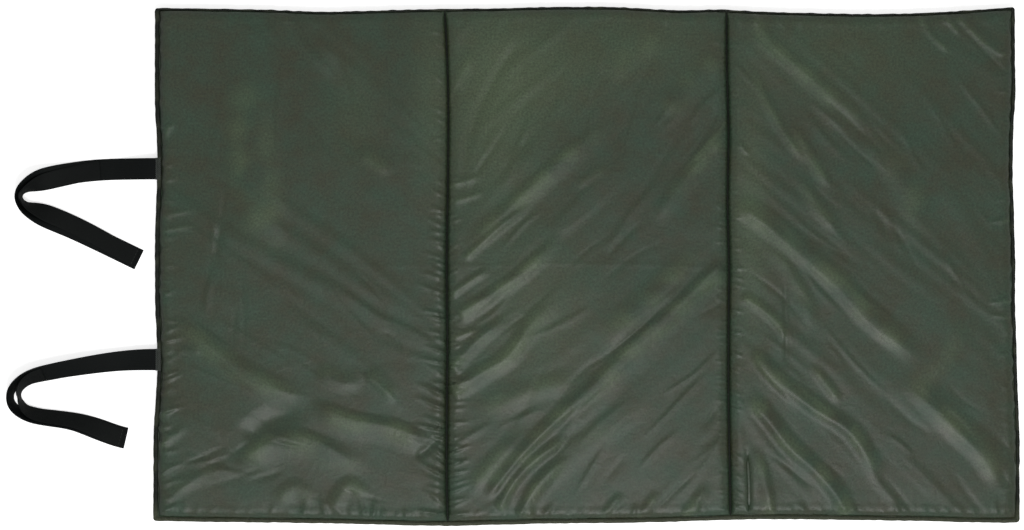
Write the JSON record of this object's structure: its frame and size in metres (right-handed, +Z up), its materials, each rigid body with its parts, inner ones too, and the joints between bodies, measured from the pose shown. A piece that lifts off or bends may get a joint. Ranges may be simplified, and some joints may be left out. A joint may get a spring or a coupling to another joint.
{
  "type": "unhooking mat",
  "caption": "Flat folding landing mat for fish: padded nylon panels joined by sewn folds, with webbing straps that close it.",
  "frame": {"origin": "on the ground, under the middle of the centre panel", "axes": "+X along the mat towards its plain end, away from the straps; +Y towards the rear long edge; +Z up"},
  "size_m": [1.1714, 0.6, 0.0253],
  "materials": {
    "nylon_cover": "satin",
    "edge_band": "matte",
    "foam": "matte",
    "webbing": "matte",
    "hook_and_loop": "matte",
    "thread": "satin"
  },
  "bodies": {
    "centre_panel": {"top_cover_centre": "nylon_cover", "bottom_cover_centre": "nylon_cover", "foam_core_centre": "foam", "centre_front_hem": "edge_band", "centre_rear_hem": "edge_band", "centre_topstitch_front": "thread", "centre_topstitch_rear": "thread", "front_loop_patch": "hook_and_loop", "rear_loop_patch": "hook_and_loop"},
    "left_fold_strip": {"left_fold_cloth": "edge_band", "left_fold_slack_top": "nylon_cover", "left_fold_slack_bottom": "nylon_cover", "left_fold_stitching": "thread"},
    "left_panel": {"top_cover_left": "nylon_cover", "bottom_cover_left": "nylon_cover", "foam_core_left": "foam", "left_front_hem": "edge_band", "left_rear_hem": "edge_band", "left_end_hem": "edge_band", "left_topstitch": "thread", "rear_strap_root": "webbing", "rear_strap_bar_tack": "thread", "front_strap_root": "webbing", "front_strap_bar_tack": "thread"},
    "right_fold_strip": {"right_fold_cloth": "edge_band", "right_fold_slack_top": "nylon_cover", "right_fold_slack_bottom": "nylon_cover", "right_fold_stitching": "thread"},
    "right_panel": {"top_cover_right": "nylon_cover", "bottom_cover_right": "nylon_cover", "foam_core_right": "foam", "right_front_hem": "edge_band", "right_rear_hem": "edge_band", "right_end_hem": "edge_band", "right_topstitch": "thread"},
    "rear_strap": {"rear_strap_run": "webbing", "rear_strap_bend": "webbing"},
    "rear_strap_tail": {"rear_strap_end": "webbing", "rear_strap_hook_tape": "hook_and_loop", "rear_strap_tip_stitch": "thread"},
    "front_strap": {"front_strap_run": "webbing", "front_strap_bend": "webbing"},
    "front_strap_tail": {"front_strap_end": "webbing", "front_strap_hook_tape": "hook_and_loop", "front_strap_tip_stitch": "thread"}
  },
  "joints": [
    {"name": "left_fold", "type": "hinge", "parent": "centre_panel", "child": "left_fold_strip", "pos_m": [-0.15, 0, 0.011], "axis": [0, -1, 0], "range_deg": [-90, 90], "deforming": ["left_fold_slack_top"]},
    {"name": "left_fold_outer", "type": "hinge", "parent": "left_fold_strip", "child": "left_panel", "pos_m": [-0.176, 0, 0.011], "axis": [0, -1, 0], "range_deg": [-90, 90], "deforming": ["left_fold_slack_bottom"]},
    {"name": "right_fold", "type": "hinge", "parent": "centre_panel", "child": "right_fold_strip", "pos_m": [0.15, 0, 0.011], "axis": [0, -1, 0], "range_deg": [-90, 90], "deforming": ["right_fold_slack_top"]},
    {"name": "right_fold_outer", "type": "hinge", "parent": "right_fold_strip", "child": "right_panel", "pos_m": [0.176, 0, 0.011], "axis": [0, -1, 0], "range_deg": [-90, 90], "deforming": ["right_fold_slack_bottom"]},
    {"name": "rear_strap_lift", "type": "hinge", "parent": "left_panel", "child": "rear_strap", "pos_m": [-0.5055, 0.112, 0.0145], "axis": [0, 1, 0], "range_deg": [0, 150], "deforming": ["rear_strap_root"]},
    {"name": "rear_strap_unfold", "type": "hinge", "parent": "rear_strap", "child": "rear_strap_tail", "pos_m": [-0.63845, 0.07618, 0], "axis": [0, 0, -1], "range_deg": [0, 110], "deforming": ["rear_strap_bend"]},
    {"name": "front_strap_lift", "type": "hinge", "parent": "left_panel", "child": "front_strap", "pos_m": [-0.5055, -0.11, 0.0145], "axis": [0, 1, 0], "range_deg": [0, 150], "deforming": ["front_strap_root"]},
    {"name": "front_strap_unfold", "type": "hinge", "parent": "front_strap", "child": "front_strap_tail", "pos_m": [-0.64928, -0.15135, 0], "axis": [0, 0, -1], "range_deg": [0, 110], "deforming": ["front_strap_bend"]}
  ],
  "couplings": [
    {"joint": "left_fold_outer", "follows": "left_fold", "ratio": 1},
    {"joint": "right_fold_outer", "follows": "right_fold", "ratio": 1}
  ]
}
